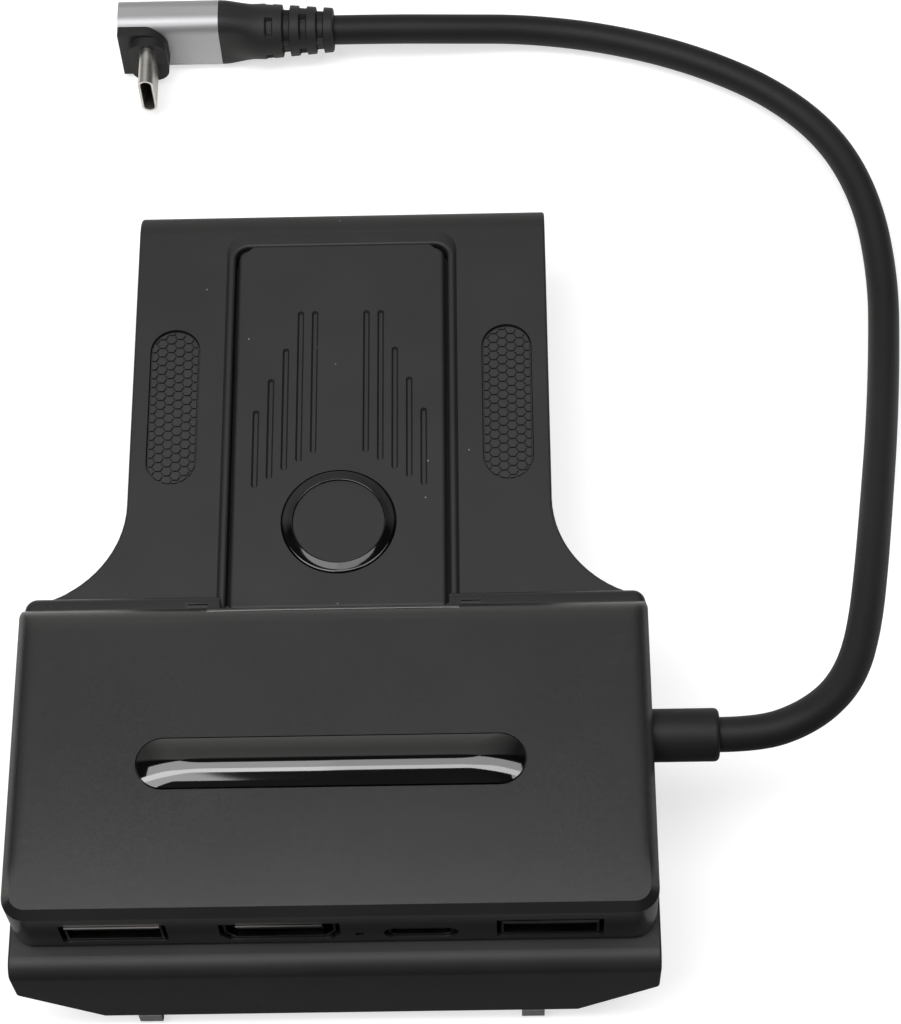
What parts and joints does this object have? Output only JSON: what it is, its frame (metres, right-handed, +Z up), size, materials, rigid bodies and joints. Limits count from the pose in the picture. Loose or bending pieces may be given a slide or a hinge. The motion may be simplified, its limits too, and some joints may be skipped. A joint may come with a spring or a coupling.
{
  "type": "handheld console dock",
  "caption": "Clip-on dock for a handheld console: hooked bracket with a flip-out kickstand, a port hub on its back and a short captive lead with an angled plug.",
  "frame": {"origin": "on the table, under the middle of the bracket", "axes": "+Z up, away from the console; +Y along the back plate, from the shelf to the top hook; +X to the right of someone looking at the hub"},
  "size_m": [0.1322, 0.1734, 0.0353],
  "materials": {
    "housing": "fine moulded texture, black",
    "hub_shell": "finer satin texture, black",
    "gloss_trim": "polished black",
    "grip_rubber": "matt rubber with raised cells",
    "claw_grey": "grey silicone",
    "pad_silicone": "matt silicone",
    "steel": "plain steel",
    "dark_steel": "blackened steel",
    "port_sheet": "dark nickel plated sheet",
    "aluminium": "satin anodised",
    "connector_black": "moulded black",
    "board": "green solder mask",
    "component": "black package",
    "light_clear": "clear plastic",
    "jacket": "satin cable jacket"
  },
  "bodies": {
    "dock": {"bracket": "housing", "claw_left": "claw_grey", "claw_right": "claw_grey", "grip_pad_left": "grip_rubber", "grip_pad_right": "grip_rubber", "hub_base": "hub_shell", "hub_cover": "hub_shell", "hub_window": "gloss_trim", "main_board": "board", "hub_chip": "component", "video_chip": "component", "power_chip": "component", "power_inductor": "component", "board_screws": "steel", "hub_screws": "steel", "usb_a_left_shell": "port_sheet", "usb_a_left_tongue": "connector_black", "usb_a_right_shell": "port_sheet", "usb_a_right_tongue": "connector_black", "hdmi_shell": "port_sheet", "hdmi_tongue": "connector_black", "usb_c_shell": "port_sheet", "usb_c_tongue": "connector_black", "light_pipe": "light_clear", "status_lamp": "light_clear", "back_pad_left": "pad_silicone", "back_pad_right": "pad_silicone", "hook_pad": "pad_silicone", "shelf_pad": "pad_silicone", "strain_relief": "jacket", "cable": "jacket", "plug_boot": "jacket", "plug_shell": "aluminium", "plug_nose": "connector_black", "plug_tip": "port_sheet", "plug_tongue": "connector_black"},
    "stand": {"kickstand": "housing", "kickstand_ring": "gloss_trim", "hinge_pin": "dark_steel"}
  },
  "joints": [
    {"name": "kickstand_hinge", "type": "hinge", "parent": "dock", "child": "stand", "pos_m": [0, -0.0071, 0.0212], "axis": [1, 0, 0], "range_deg": [0, 100]}
  ]
}
